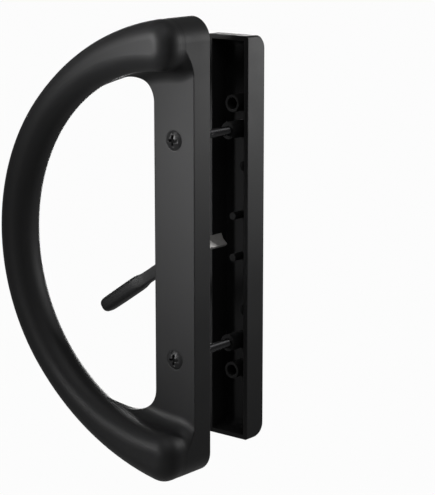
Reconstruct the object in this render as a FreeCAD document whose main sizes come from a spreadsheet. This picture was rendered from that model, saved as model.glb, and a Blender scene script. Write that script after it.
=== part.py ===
import FreeCAD, Part
import math
import os

import Sketcher
from FreeCAD import Placement, Rotation, Vector

# Sliding patio door handle: an interior D pull with a thumb lever, and an exterior pull, clamped on a door by two
# long screws. Millimetres. The origin lies midway between the screws on the door's inner face. X runs across the
# plate, Y runs from the interior through the door, Z is up.

DRIVING_SIZES = {
    # Interior casting: the channel plate
    "plate_width": 23.0,
    "plate_depth": 11.0,
    "plate_corner": 10.0,
    "front_wall": 2.6,
    "side_wall": 2.3,
    "cavity_length": 128.0,
    "cavity_corner": 3.0,
    # Interior casting: the D bow and its legs
    "bow_outer_radius": 122.7,
    "bow_nose_radius": 96.9,
    "bow_nose_centre": 0.9,
    "shoulder_angle": 49.0,
    "bow_inner_radius": 81.5,
    "bow_inner_centre": 2.8,
    "bar_depth": 16.6,
    "bar_front_round": 8.0,
    "bar_back_round": 7.2,
    "leg_depth": 29.0,
    "leg_inset": 0.05,
    "leg_blend": 6.0,
    "neck_angle": 36.5,
    "opening_corner": 10.8,
    "cove_land": 0.3,
    "cove_radius": 9.7,
    "cove_fade": 28.4,
    # Door and exterior casting
    "door_thickness": 26.8,
    "exterior_height": 188.8,
    "exterior_depth": 12.6,
    "exterior_drop": 0.8,
    "exterior_wall": 2.2,
    "exterior_end_round": 6.2,
    "exterior_edge_chamfer": 0.7,
    "post_diameter": 8.0,
    "ring_spacing": 126.0,
    "ring_diameter": 8.0,
    "ring_bore": 5.4,
    "ring_setback": 3.0,
    "stud_spacing": 19.6,
    "stud_diameter": 3.6,
    "pad_spacing": 67.6,
    "pad_diameter": 4.4,
    "pad_offset": 6.2,
    "stud_setback": 3.5,
    # Mounting screws
    "screw_spacing": 100.0,
    "screw_diameter": 4.1,
    "screw_head_diameter": 8.9,
    "screw_head_cone": 2.7,
    "screw_head_dome": 1.5,
    "screw_length": 44.0,
    "screw_point": 0.6,
    "screw_hole_diameter": 4.6,
    "screw_boss_diameter": 9.6,
    "recess_width": 1.3,
    "recess_span": 5.0,
    "recess_depth": 1.7,
    # Thumb lever
    "lever_rest_angle": 36.5,
    "lever_swing": 73.0,
    "lever_reach": 58.0,
    "hub_diameter": 16.0,
    "arm_width": 6.4,
    "arm_height": 4.0,
    "paddle_length": 29.0,
    "paddle_taper": 8.0,
    "paddle_width": 8.4,
    "paddle_height": 7.4,
    "paddle_rise": 0.5,
    "paddle_corner": 3.4,
    "paddle_round": 2.6,
    "journal_diameter": 9.0,
    "journal_proud": 0.9,
    "pivot_diameter": 5.0,
    "pivot_height": 2.6,
    "slot_clearance": 0.6,
    "slot_corner": 1.6,
    # Tailpiece
    "tailpiece_width": 6.2,
    "tailpiece_thickness": 1.6,
    "tailpiece_reach": 24.0,
    "tailpiece_socket": 4.0,
    "tailpiece_angle": 45.0,
    "shear_slant": 1.0,
    "shear_step": 1.2,
    "notch_place": 12.0,
    "notch_width": 1.2,
    "notch_depth": 0.7,
    # Hub retainer, its screws and the spring washer
    "retainer_thickness": 1.2,
    "retainer_length": 44.0,
    "retainer_width": 15.0,
    "retainer_corner": 3.0,
    "retainer_setback": 1.6,
    "retainer_screw_spacing": 35.0,
    "retainer_screw_diameter": 2.9,
    "retainer_screw_head": 5.4,
    "retainer_screw_head_height": 1.1,
    "retainer_screw_length": 4.0,
    "retainer_recess_span": 2.6,
    "retainer_recess_width": 0.7,
    "retainer_recess_depth": 0.8,
    "retainer_boss_diameter": 6.6,
    "washer_diameter": 13.0,
    "washer_bore": 6.0,
    "washer_thickness": 0.35,
    "washer_height": 0.7,
    # Clearances
    "fit_clearance": 0.05,
    "running_gap": 0.3,
}

doc = FreeCAD.newDocument("patio_door_handle")
sheet = doc.addObject("Spreadsheet::Sheet", "Sizes")
for row, (alias, number) in enumerate(DRIVING_SIZES.items(), start=1):
    sheet.set(f"A{row}", alias)
    sheet.set(f"B{row}", str(number))
    sheet.setAlias(f"B{row}", alias)
doc.recompute()


def formula(text):
    """An expression with each size's alias written as a cell of the sheet."""
    for alias in sorted(DRIVING_SIZES, key=len, reverse=True):
        text = text.replace(f"<{alias}>", f"Sizes.{alias}")
    return text


def value(text):
    """The number that an expression gives."""
    result = sheet.evalExpression(formula(text))
    return float(getattr(result, "Value", result))


def bind(thing, prop, text):
    """Tie a property to an expression on the sheet."""
    thing.setExpression(prop, formula(text))


def plane(body, role):
    return next(o for o in body.Origin.OriginFeatures if o.Role == role)


def new_body(name):
    return doc.addObject("PartDesign::Body", name)


def new_sketch(body, name, role, height="0", turn="0"):
    """A sketch on one of the body's origin planes, lifted along the plane's normal and turned about it."""
    sketch = body.newObject("Sketcher::SketchObject", name)
    sketch.AttachmentSupport = (plane(body, role), [""])
    sketch.MapMode = "FlatFace"
    sketch.AttachmentOffset = Placement(Vector(0, 0, value(height)), Rotation(Vector(0, 0, 1), value(turn)))
    bind(sketch, "AttachmentOffset.Base.z", height)
    if turn != "0":
        bind(sketch, "AttachmentOffset.Rotation.Angle", turn)
    return sketch


def pin_point(sketch, geometry, end, x, y):
    """Place one end of a sketch line or arc by two bound distances from the sketch's origin."""
    for kind, text in (("DistanceX", x), ("DistanceY", y)):
        index = sketch.addConstraint(Sketcher.Constraint(kind, -1, 1, geometry, end, value(text)))
        bind(sketch, f"Constraints[{index}]", text)


def arc_between(start, end, radius, turn):
    """The short arc of a given radius between two points, turning left for +1 and right for -1."""
    chord = end - start
    half = chord.Length / 2
    side = Vector(-chord.y, chord.x, 0).normalize() * turn
    centre = start + chord * 0.5 + side * math.sqrt(max(radius * radius - half * half, 0.0))
    first, last = (start, end) if turn > 0 else (end, start)
    angles = [math.atan2(p.y - centre.y, p.x - centre.x) for p in (first, last)]
    return Part.ArcOfCircle(Part.Circle(centre, Vector(0, 0, 1), radius), angles[0], angles[1])


def trace(sketch, steps):
    """A closed outline. Each step is the next corner and, for an arc that leads to it, its radius and turn."""
    corners = [Vector(value(s[0]), value(s[1]), 0) for s in steps]
    ends = []
    for k, step in enumerate(steps):
        start = corners[k - 1]
        if len(step) == 2:
            index = sketch.addGeometry(Part.LineSegment(start, corners[k]), False)
            ends.append((index, 1, 2))
            continue
        index = sketch.addGeometry(arc_between(start, corners[k], value(step[2]), step[3]), False)
        ends.append((index, 1, 2) if step[3] > 0 else (index, 2, 1))
    for k, step in enumerate(steps):
        index, _, last = ends[k]
        following, first, _ = ends[(k + 1) % len(steps)]
        sketch.addConstraint(Sketcher.Constraint("Coincident", index, last, following, first))
    for k, step in enumerate(steps):
        index, _, last = ends[k]
        pin_point(sketch, index, last, step[0], step[1])
        if len(step) > 2:
            number = sketch.addConstraint(Sketcher.Constraint("Radius", index, value(step[2])))
            bind(sketch, f"Constraints[{number}]", step[2])


def rectangle(sketch, left, right, low, high):
    trace(sketch, [(right, low), (right, high), (left, high), (left, low)])


def rounded_rectangle(sketch, left, right, low, high, corner):
    trace(sketch, [
        (right, f"({high} - {corner})"),
        (f"({right} - {corner})", high, corner, 1),
        (f"({left} + {corner})", high),
        (left, f"({high} - {corner})", corner, 1),
        (left, f"({low} + {corner})"),
        (f"({left} + {corner})", low, corner, 1),
        (f"({right} - {corner})", low),
        (right, f"({low} + {corner})", corner, 1),
    ])


def circle(sketch, x, y, diameter):
    centre = Vector(value(x), value(y), 0)
    index = sketch.addGeometry(Part.Circle(centre, Vector(0, 0, 1), value(diameter) / 2), False)
    pin_point(sketch, index, 3, x, y)
    number = sketch.addConstraint(Sketcher.Constraint("Diameter", index, value(diameter)))
    bind(sketch, f"Constraints[{number}]", diameter)


def extrude(body, kind, sketch, length, backwards=False, both=False):
    """A Pad or Pocket of a bound length, along the sketch's normal or against it."""
    feature = body.newObject(f"PartDesign::{kind}", f"{sketch.Name}_{kind.lower()}")
    feature.Profile = sketch
    feature.Length = value(length)
    bind(feature, "Length", length)
    feature.Reversed = backwards
    feature.Midplane = both
    doc.recompute()
    return feature


def turned(body, sketch):
    """A full turn of a profile about the axis that runs through the door."""
    feature = body.newObject("PartDesign::Revolution", f"{sketch.Name}_turned")
    feature.Profile = sketch
    feature.ReferenceAxis = (sketch, ["H_Axis"])
    feature.Angle = 360.0
    doc.recompute()
    return feature


def cut_edges(body, feature, kind, prop, test, size, name):
    """Fillet or chamfer the edges of a feature that pass a test, to a bound radius or size."""
    names = [f"Edge{n}" for n, e in enumerate(feature.Shape.Edges, start=1) if test(e)]
    dressed = body.newObject(f"PartDesign::{kind}", name)
    dressed.Base = (feature, names)
    setattr(dressed, prop, value(size))
    bind(dressed, prop, size)
    doc.recompute()
    return dressed


def round_edges(body, feature, test, radius, name):
    return cut_edges(body, feature, "Fillet", "Radius", test, radius, name)


def carried_on(shape_object, name):
    """A body that goes on from a finished shape."""
    body = new_body(name)
    body.BaseFeature = shape_object
    doc.recompute()
    return body


# Lines that the interior casting's outlines share. The bow's outer line is an oval: a nose arc at the far left between
# two flatter shoulder arcs, each of which runs on over its leg.
HALF_PLATE = "<plate_width> / 2"
SIDE_X = "(<plate_width> / 2 - <leg_inset>)"
FLATTER = "(<bow_outer_radius> - <bow_nose_radius>)"
SHOULDER_X = f"(<bow_nose_centre> + {FLATTER} * sin(<shoulder_angle> * 1 deg))"
SHOULDER_DROP = f"({FLATTER} * cos(<shoulder_angle> * 1 deg))"
GRIP_RADIUS = "(<bow_inner_radius> - <leg_inset>)"
NECK = "(<neck_angle> * 1 deg)"

# Two rounds that face each other over a wall leave a flat between them, so each takes less than half of its width
FULLEST_ROUND = 0.465
LEG_TOP = f"(sqrt(<bow_outer_radius> ^ 2 - {SHOULDER_X} ^ 2) - {SHOULDER_DROP})"
LEG_HEIGHT = f"({LEG_TOP} - sqrt(<bow_inner_radius> ^ 2 - <bow_inner_centre> ^ 2))"
END_CORNER = f"min(<plate_corner>; {FULLEST_ROUND} * {LEG_HEIGHT})"
CORNER_X = f"(<plate_width> / 2 - {END_CORNER})"
BAR_WIDTH = f"(<bow_nose_radius> - <bow_nose_centre> - {GRIP_RADIUS} + <bow_inner_centre>)"
FRONT_ROUND = f"min(<bar_front_round>; {FULLEST_ROUND} * {BAR_WIDTH})"
BACK_ROUND = f"min(<bar_back_round>; {FULLEST_ROUND} * {BAR_WIDTH})"
BAR_BACK = "(<leg_depth> - <bar_depth>)"
BELLY = f"(<leg_depth> - (<bar_depth> + {FRONT_ROUND} - {BACK_ROUND}) / 2)"


def top_corner(inset):
    """Corner between the bow's outer line and the plate's right side: its two tangent points and its radius."""
    outer = f"(<bow_outer_radius> - {inset})"
    corner = f"({END_CORNER} - {inset})"
    across = f"({SHOULDER_X} - {CORNER_X})"
    rise = f"sqrt((<bow_outer_radius> - {END_CORNER}) ^ 2 - {across} ^ 2)"
    share = f"{outer} / (<bow_outer_radius> - {END_CORNER})"
    on_circle = (f"({SHOULDER_X} - {across} * {share})", f"({rise} * {share} - {SHOULDER_DROP})")
    return {"side": f"({rise} - {SHOULDER_DROP})", "circle": on_circle, "radius": corner, "outer": outer}


def under_corner(inner, corner):
    """Corner between a leg's underside and its right end: its two tangent points and its radius."""
    across = f"(<bow_inner_centre> - {CORNER_X})"
    reach = f"({inner} + {corner})"
    rise = f"sqrt({reach} ^ 2 - {across} ^ 2)"
    share = f"{inner} / {reach}"
    on_circle = (f"(<bow_inner_centre> - {across} * {share})", f"({rise} * {share})")
    return {"side": f"({rise})", "circle": on_circle, "radius": corner}


def neck_point(radius):
    """Point at a radius from the bow's inner centre, on the line where a leg's outline ends inside the bow."""
    return f"(<bow_inner_centre> - {radius} * sin({NECK}))", f"({radius} * cos({NECK}))"


def shoulder_reach(turn):
    """Distance from the bow's inner centre to a shoulder arc, at an angle from the top."""
    along = f"(({SHOULDER_X} - <bow_inner_centre>) * sin({turn}) + {SHOULDER_DROP} * cos({turn}))"
    offset = f"(({SHOULDER_X} - <bow_inner_centre>) ^ 2 + {SHOULDER_DROP} ^ 2)"
    return f"(sqrt(<bow_outer_radius> ^ 2 + {along} ^ 2 - {offset}) - {along})"


def mirrored(steps):
    """The same outline below the middle, walked the other way. Arcs keep their turn."""
    flipped = []
    for k in range(len(steps) - 1, -1, -1):
        x, y = steps[k][0], steps[k][1]
        arc = steps[k + 1][2:] if k + 1 < len(steps) else ()
        flipped.append((x, f"(-1 * {y})", *arc))
    return flipped


def plate_and_legs():
    """The plate with both legs up to the middle of the bow's depth, and the cove that fades each leg into the bow."""
    body = new_body("plate_and_legs")
    corner = top_corner("0")
    across = "(<bow_inner_centre> + <plate_width> / 2 + <opening_corner>)"
    reach = f"({GRIP_RADIUS} - <opening_corner>)"
    rise = f"sqrt({reach} ^ 2 - {across} ^ 2)"
    share = f"{GRIP_RADIUS} / {reach}"
    upper = [
        (HALF_PLATE, corner["side"]),
        (*corner["circle"], corner["radius"], 1),
        (*neck_point(shoulder_reach(NECK)), corner["outer"], 1),
        neck_point(GRIP_RADIUS),
        (f"(<bow_inner_centre> - {across} * {share})", f"({rise} * {share})", GRIP_RADIUS, -1),
        (f"(-1 * {HALF_PLATE})", f"({rise})", "<opening_corner>", -1),
    ]
    outline = new_sketch(body, "casting_outline", "XZ_Plane")
    trace(outline, upper + mirrored(upper))
    extrude(body, "Pad", outline, BELLY)
    cove = new_sketch(body, "finger_cove", "XY_Plane")
    start = "(-1 * <plate_width> / 2 - <cove_land>)"
    swing = "(90 deg - <cove_fade> * 1 deg)"
    fade = (f"({start} - <cove_radius> * (1 - cos({swing})))", f"(-1 * <cove_radius> * sin({swing}))")
    far = "(-1 * <bow_outer_radius>)"
    trace(cove, [
        (start, "<cove_radius>"),
        (far, "<cove_radius>"),
        (far, f"({fade[1]} - tan(<cove_fade> * 1 deg) * ({fade[0]} - {far}))"),
        fade,
        (start, "0", "<cove_radius>", 1),
    ])
    extrude(body, "Pocket", cove, "<bow_outer_radius> * 3", both=True)
    return body


def face_relief():
    """What is cleared in front of the plate around the two legs, with a rounded bottom edge for the cast blend."""
    body = new_body("face_relief")
    top = top_corner("<leg_inset>")
    under = under_corner("<bow_inner_radius>", f"({END_CORNER} - <leg_inset>)")
    left = "(-1 * <plate_width> * 2)"
    outside = "(<bow_outer_radius> * 1.5)"

    def at_left(radius, across, drop):
        return left, f"(sqrt({radius} ^ 2 - ({left} - {across}) ^ 2) - {drop})"

    upper = [
        (left, outside),
        at_left(top["outer"], SHOULDER_X, SHOULDER_DROP),
        (*top["circle"], top["outer"], -1),
        (SIDE_X, top["side"], top["radius"], -1),
        (SIDE_X, under["side"]),
        (*under["circle"], under["radius"], -1),
        (*at_left("<bow_inner_radius>", "<bow_inner_centre>", "0"), "<bow_inner_radius>", 1),
    ]
    sketch = new_sketch(body, "relief_outline", "XZ_Plane", "<plate_depth>")
    trace(sketch, upper + mirrored(upper) + [(outside, f"(-1 * {outside})"), (outside, outside)])
    pad = extrude(body, "Pad", sketch, "<leg_depth> * 2")
    floor, far = -value("<plate_depth>"), [value(left), value(outside)]

    def beside_a_leg(edge):
        low = all(abs(v.Y - floor) < 1e-6 for v in edge.Vertexes)
        away = any(all(abs(v.X - x) < 1e-6 for v in edge.Vertexes) for x in far)
        return low and not away and all(abs(v.Z) < far[1] - 1e-6 for v in edge.Vertexes)

    round_edges(body, pad, beside_a_leg, "<leg_blend>", "cast_blend")
    return body


def grip_bar():
    """The round-edged bar of the D: from one leg's end over the bow to the other leg's end."""
    body = new_body("grip_bar")
    top, under = top_corner("0"), under_corner(GRIP_RADIUS, END_CORNER)
    nose = "<bow_nose_radius>"
    meeting = (f"(<bow_nose_centre> - {nose} * sin(<shoulder_angle> * 1 deg))",
               f"({nose} * cos(<shoulder_angle> * 1 deg))")
    upper = [
        (*under["circle"], GRIP_RADIUS, -1),
        (HALF_PLATE, under["side"], under["radius"], 1),
        (HALF_PLATE, top["side"]),
        (*top["circle"], top["radius"], 1),
        (*meeting, top["outer"], 1),
    ]
    lower = mirrored(upper)
    lower[0] = (*lower[0], nose, 1)
    innermost = (f"(<bow_inner_centre> - {GRIP_RADIUS})", "0", GRIP_RADIUS, -1)
    outline = new_sketch(body, "bar_outline", "XZ_Plane", BAR_BACK)
    trace(outline, upper + lower + [innermost])
    feature = extrude(body, "Pad", outline, "<bar_depth>")
    for name, depth, radius in (("bar_front", "<leg_depth>", FRONT_ROUND), ("bar_back", BAR_BACK, BACK_ROUND)):
        level = -value(depth)
        feature = round_edges(body, feature, lambda e: all(abs(v.Y - level) < 1e-6 for v in e.Vertexes), radius, name)
    return body


def casting():
    """The interior casting before its back is cored: plate, legs and bow in one piece."""
    relieved = doc.addObject("Part::Cut", "relieved_plate")
    relieved.Base = plate_and_legs()
    relieved.Tool = face_relief()
    joined = doc.addObject("Part::Fuse", "casting")
    joined.Base = relieved
    joined.Tool = grip_bar()
    joined.Refine = False
    doc.recompute()
    return joined


# Depths behind the door's inner face at which the pieces of the lever's pivot stand, counted towards the interior
CAVITY_FLOOR = "(<plate_depth> - <front_wall>)"
HUB_FRONT = f"({CAVITY_FLOOR} - <washer_height> - <fit_clearance>)"
RETAINER_SEAT = "(<retainer_setback> + <retainer_thickness>)"
HUB_BACK = f"({RETAINER_SEAT} + <running_gap>)"
HUB_MIDDLE = f"(({HUB_FRONT} + {HUB_BACK}) / 2)"
JOURNAL_END = "(<retainer_setback> - <journal_proud>)"
SOCKET_FLOOR = f"({JOURNAL_END} + <tailpiece_socket>)"
PILOT_DIAMETER = "(<retainer_screw_diameter> + 2 * <fit_clearance>)"


def pair(sketch, spacing, diameter, across="0", middle="0"):
    """Two like circles, one above and one below a middle."""
    for side in ("1", "-1"):
        circle(sketch, across, f"({side} * {spacing} / 2 + {middle})", diameter)


def interior_handle():
    """The interior casting, cored from the back, with its screw bosses, pivot pin and lever slot."""
    body = carried_on(casting(), "interior_handle")
    cavity = new_sketch(body, "back_cavity", "XZ_Plane")
    inside = "(<plate_width> / 2 - <side_wall>)"
    end = "(<cavity_length> / 2)"
    rounded_rectangle(cavity, f"(-1 * {inside})", inside, f"(-1 * {end})", end, "<cavity_corner>")
    pair(cavity, "<screw_spacing>", "<screw_boss_diameter>")
    extrude(body, "Pocket", cavity, CAVITY_FLOOR, backwards=True)

    bosses = new_sketch(body, "retainer_bosses", "XZ_Plane", CAVITY_FLOOR)
    pair(bosses, "<retainer_screw_spacing>", "<retainer_boss_diameter>")
    extrude(body, "Pad", bosses, f"({CAVITY_FLOOR} - {RETAINER_SEAT})", backwards=True)
    pivot = new_sketch(body, "pivot_pin", "XZ_Plane", CAVITY_FLOOR)
    circle(pivot, "0", "0", "<pivot_diameter>")
    extrude(body, "Pad", pivot, "<pivot_height>", backwards=True)

    pilots = new_sketch(body, "retainer_pilots", "XZ_Plane", RETAINER_SEAT)
    pair(pilots, "<retainer_screw_spacing>", PILOT_DIAMETER)
    depth = "(<retainer_screw_length> - <retainer_thickness> + <running_gap>)"
    extrude(body, "Pocket", pilots, depth, backwards=True)
    holes = new_sketch(body, "screw_holes", "XZ_Plane")
    pair(holes, "<screw_spacing>", "<screw_hole_diameter>")
    extrude(body, "Pocket", holes, "(<plate_depth> + <leg_blend>)", backwards=True)
    sinks = new_sketch(body, "countersinks", "XZ_Plane", "<plate_depth>")
    pair(sinks, "<screw_spacing>", "(<screw_head_diameter> + 2 * <fit_clearance>)")
    sunk = extrude(body, "Pocket", sinks, "<screw_head_cone>")
    slope = "-1 * atan((<screw_head_diameter> - <screw_diameter>) / 2 / <screw_head_cone>)"
    sunk.TaperAngle = value(slope)
    bind(sunk, "TaperAngle", slope)

    slot = new_sketch(body, "lever_slot", "YZ_Plane", f"(-1 * {inside} + <side_wall> / 2)")
    half = "(<arm_height> / 2 + <slot_clearance>)"

    def sweep(angle):
        """How far from the middle the arm's edge crosses the plate's side when the lever stands at an angle."""
        return f"({HALF_PLATE} * tan({angle}) + <arm_width> / 2 / cos({angle}) + <slot_clearance>)"

    low = sweep("(<lever_rest_angle> * 1 deg)")
    high = sweep("((<lever_swing> - <lever_rest_angle>) * 1 deg)")
    rounded_rectangle(slot, f"(-1 * {HUB_MIDDLE} - {half})", f"(-1 * {HUB_MIDDLE} + {half})", f"(-1 * {low})", high,
                      "<slot_corner>")
    extrude(body, "Pocket", slot, "<side_wall> * 2")
    return body


def turn_about_pivot(body, angle):
    """Stand a body at an angle about the pivot, positive as the lever rises."""
    body.Placement = Placement(Vector(0, 0, 0), Rotation(Vector(0, 1, 0), value(angle)))
    bind(body, "Placement.Rotation.Angle", angle)


def thumb_lever():
    """The lever, drawn pointing left and then turned down to its rest: paddle, arm, hub, journal and two sockets."""
    body = new_body("thumb_lever")
    paddle = new_sketch(body, "paddle_outline", "XZ_Plane", HUB_MIDDLE)
    root = "(-1 * <lever_reach> + <paddle_length>)"
    low, high = "(<paddle_rise> - <paddle_width> / 2)", "(<paddle_rise> + <paddle_width> / 2)"
    tip = "(-1 * <lever_reach>)"
    neck, edge = f"({root} + <paddle_taper>)", "(<arm_width> / 2)"
    trace(paddle, [
        (root, low),
        (neck, f"(-1 * {edge})"),
        (neck, edge),
        (root, high),
        (f"({tip} + <paddle_corner>)", high),
        (tip, f"({high} - <paddle_corner>)", "<paddle_corner>", 1),
        (tip, f"({low} + <paddle_corner>)"),
        (f"({tip} + <paddle_corner>)", low, "<paddle_corner>", 1),
    ])
    block = extrude(body, "Pad", paddle, "<paddle_height>", both=True)
    faces = [-value(f"{HUB_MIDDLE} + {sign} * <paddle_height> / 2") for sign in ("1", "-1")]

    def on_a_face(edge):
        return any(all(abs(v.Y - y) < 1e-6 for v in edge.Vertexes) for y in faces)

    round_edges(body, block, on_a_face, "<paddle_round>", "paddle_edges")
    arm = new_sketch(body, "arm_outline", "XZ_Plane", HUB_MIDDLE)
    rectangle(arm, root, "0", f"(-1 * {edge})", edge)
    extrude(body, "Pad", arm, "<arm_height>", both=True)
    hub = new_sketch(body, "hub_outline", "XZ_Plane", HUB_BACK)
    circle(hub, "0", "0", "<hub_diameter>")
    extrude(body, "Pad", hub, f"({HUB_FRONT} - {HUB_BACK})")
    journal = new_sketch(body, "journal_outline", "XZ_Plane", JOURNAL_END)
    circle(journal, "0", "0", "<journal_diameter>")
    extrude(body, "Pad", journal, f"({HUB_MIDDLE} - {JOURNAL_END})")
    bore = new_sketch(body, "pivot_bore", "XZ_Plane", HUB_FRONT)
    circle(bore, "0", "0", "(<pivot_diameter> + 2 * <fit_clearance>)")
    extrude(body, "Pocket", bore, f"({HUB_FRONT} - {CAVITY_FLOOR} + <pivot_height> + <running_gap>)")
    socket = new_sketch(body, "blade_socket", "XZ_Plane", JOURNAL_END, "-1 * (<tailpiece_angle> + <lever_rest_angle>)")
    wide = "(<tailpiece_width> / 2 + <fit_clearance>)"
    thick = "(<tailpiece_thickness> / 2 + <fit_clearance>)"
    rectangle(socket, f"(-1 * {wide})", wide, f"(-1 * {thick})", thick)
    extrude(body, "Pocket", socket, "<tailpiece_socket>", backwards=True)
    turn_about_pivot(body, "-1 * <lever_rest_angle>")
    return body


def tailpiece():
    """The flat blade that carries the lever's turn through the door: break-off notches and a slanted sheared end."""
    body = new_body("tailpiece")
    outline = new_sketch(body, "blade_outline", "XY_Plane")
    side = "(<tailpiece_width> / 2)"
    floor = f"(-1 * {SOCKET_FLOOR})"

    def notch(edge, sign, steps):
        """Three corners of a notch in one edge of the blade, walked along it."""
        return [(f"({sign} * ({edge} - {depth}))", f"(<notch_place> + {step} * <notch_width> / 2)")
                for step, depth in zip(steps, ("0", "<notch_depth>", "0"))]

    trace(outline, [
        (f"(-1 * {side})", floor),
        (side, floor),
        *notch(side, "1", (-1, 0, 1)),
        (side, "(<tailpiece_reach> - <shear_slant>)"),
        ("0", "(<tailpiece_reach> - <shear_step>)"),
        (f"(-1 * {side})", "<tailpiece_reach>"),
        *notch(side, "-1", (1, 0, -1)),
    ])
    extrude(body, "Pad", outline, "<tailpiece_thickness>", both=True)
    turn_about_pivot(body, "<tailpiece_angle>")
    return body


def hub_retainer():
    """The pressed plate that holds the lever's hub in the casting."""
    body = new_body("hub_retainer")
    outline = new_sketch(body, "retainer_outline", "XZ_Plane", "<retainer_setback>")
    across, along = "(<retainer_width> / 2)", "(<retainer_length> / 2)"
    rounded_rectangle(outline, f"(-1 * {across})", across, f"(-1 * {along})", along, "<retainer_corner>")
    circle(outline, "0", "0", "(<journal_diameter> + 2 * <fit_clearance>)")
    pair(outline, "<retainer_screw_spacing>", PILOT_DIAMETER)
    extrude(body, "Pad", outline, "<retainer_thickness>")
    return body


def spring_washer():
    """A dished ring under the hub: its rim stands on the cavity floor and its bore lifts towards the hub."""
    body = new_body("spring_washer")
    section = new_sketch(body, "washer_section", "YZ_Plane")
    rim, bore = "(<washer_diameter> / 2)", "(<washer_bore> / 2)"
    trace(section, [
        (f"(-1 * {CAVITY_FLOOR})", rim),
        (f"(<washer_height> - <washer_thickness> - {CAVITY_FLOOR})", bore),
        (f"(<washer_height> - {CAVITY_FLOOR})", bore),
        (f"(<washer_thickness> - {CAVITY_FLOOR})", rim),
    ])
    turned(body, section)
    return body


def group(name, screw, spacing):
    """Two like screws, one above and one below the middle, as one group of separate solids."""
    screws = []
    for place, side in (("upper", "1"), ("lower", "-1")):
        body = screw(f"{name}_{place}")
        height = f"{side} * {spacing} / 2"
        body.Placement = Placement(Vector(0, 0, value(height)), Rotation())
        bind(body, "Placement.Base.z", height)
        screws.append(body)
    both = doc.addObject("Part::Compound", name)
    both.Links = screws
    doc.recompute()
    return both


def cross_recess(body, name, crown, span, width, depth, backwards):
    """A cross cut into a screw head from its crown."""
    recess = new_sketch(body, f"{name}_recess", "XZ_Plane", f"(-1 * {crown})")
    far, near = f"({span} / 2)", f"({width} / 2)"
    corners = []
    for turns in range(4):
        for x, y in ((near, far), (near, near), (far, near)):
            u, v = x, f"(-1 * {y})"
            for _ in range(turns):
                u, v = f"(-1 * {v})", u
            corners.append((u, v))
    trace(recess, corners)
    extrude(body, "Pocket", recess, depth, backwards=backwards)


def retainer_screw(name):
    """A short pan head screw that holds the retainer on its bosses."""
    body = new_body(name)
    profile = new_sketch(body, f"{name}_profile", "YZ_Plane")
    head, shank = "(<retainer_screw_head> / 2)", "(<retainer_screw_diameter> / 2)"
    seat = "(-1 * <retainer_setback>)"
    crown = f"({seat} + <retainer_screw_head_height>)"
    tip = f"({seat} - <retainer_screw_length>)"
    trace(profile, [
        (crown, "0"),
        (crown, shank),
        (f"({seat} + <retainer_screw_head_height> / 2)", head),
        (seat, head),
        (seat, shank),
        (tip, shank),
        (tip, "0"),
    ])
    turned(body, profile)
    cross_recess(body, name, crown, "<retainer_recess_span>", "<retainer_recess_width>", "<retainer_recess_depth>",
                 backwards=True)
    return body


def mounting_screw(name):
    """A long oval head screw with a cross recess, from the interior plate to the exterior post."""
    body = new_body(name)
    profile = new_sketch(body, f"{name}_profile", "YZ_Plane")
    rim, shank = "(<screw_head_diameter> / 2)", "(<screw_diameter> / 2)"
    crown = "(-1 * <plate_depth> - <screw_head_dome>)"
    tip = "(<screw_length> - <plate_depth>)"
    dome = f"(({rim} ^ 2 + <screw_head_dome> ^ 2) / 2 / <screw_head_dome>)"
    trace(profile, [
        ("(-1 * <plate_depth>)", rim, dome, -1),
        ("(<screw_head_cone> - <plate_depth>)", shank),
        (f"({tip} - <screw_point>)", shank),
        (tip, f"({shank} - <screw_point>)"),
        (tip, "0"),
        (crown, "0"),
    ])
    turned(body, profile)
    cross_recess(body, name, crown, "<recess_span>", "<recess_width>", "<recess_depth>", backwards=False)
    return body


# Places along the door's thickness on the exterior casting
RIM = "<door_thickness>"
OUTER_FACE = "(<door_thickness> + <exterior_depth>)"
HOLLOW_FLOOR = "(<door_thickness> + <exterior_depth> - <exterior_wall>)"


def exterior_profile(body, name, inset):
    """Side profile of the exterior casting, or of its hollow: flat at the door, rounded at both outer ends."""
    sketch = new_sketch(body, name, "YZ_Plane")
    top = f"(<exterior_height> / 2 - {inset} - <exterior_drop>)"
    bottom = f"({inset} - <exterior_height> / 2 - <exterior_drop>)"
    face = f"({OUTER_FACE} - {inset})"
    bend = f"(<exterior_end_round> - {inset})"
    trace(sketch, [
        (f"({face} - {bend})", bottom),
        (face, f"({bottom} + {bend})", bend, 1),
        (face, f"({top} - {bend})"),
        (f"({face} - {bend})", top, bend, 1),
        (RIM, top),
        (RIM, bottom),
    ])
    return sketch


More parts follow.
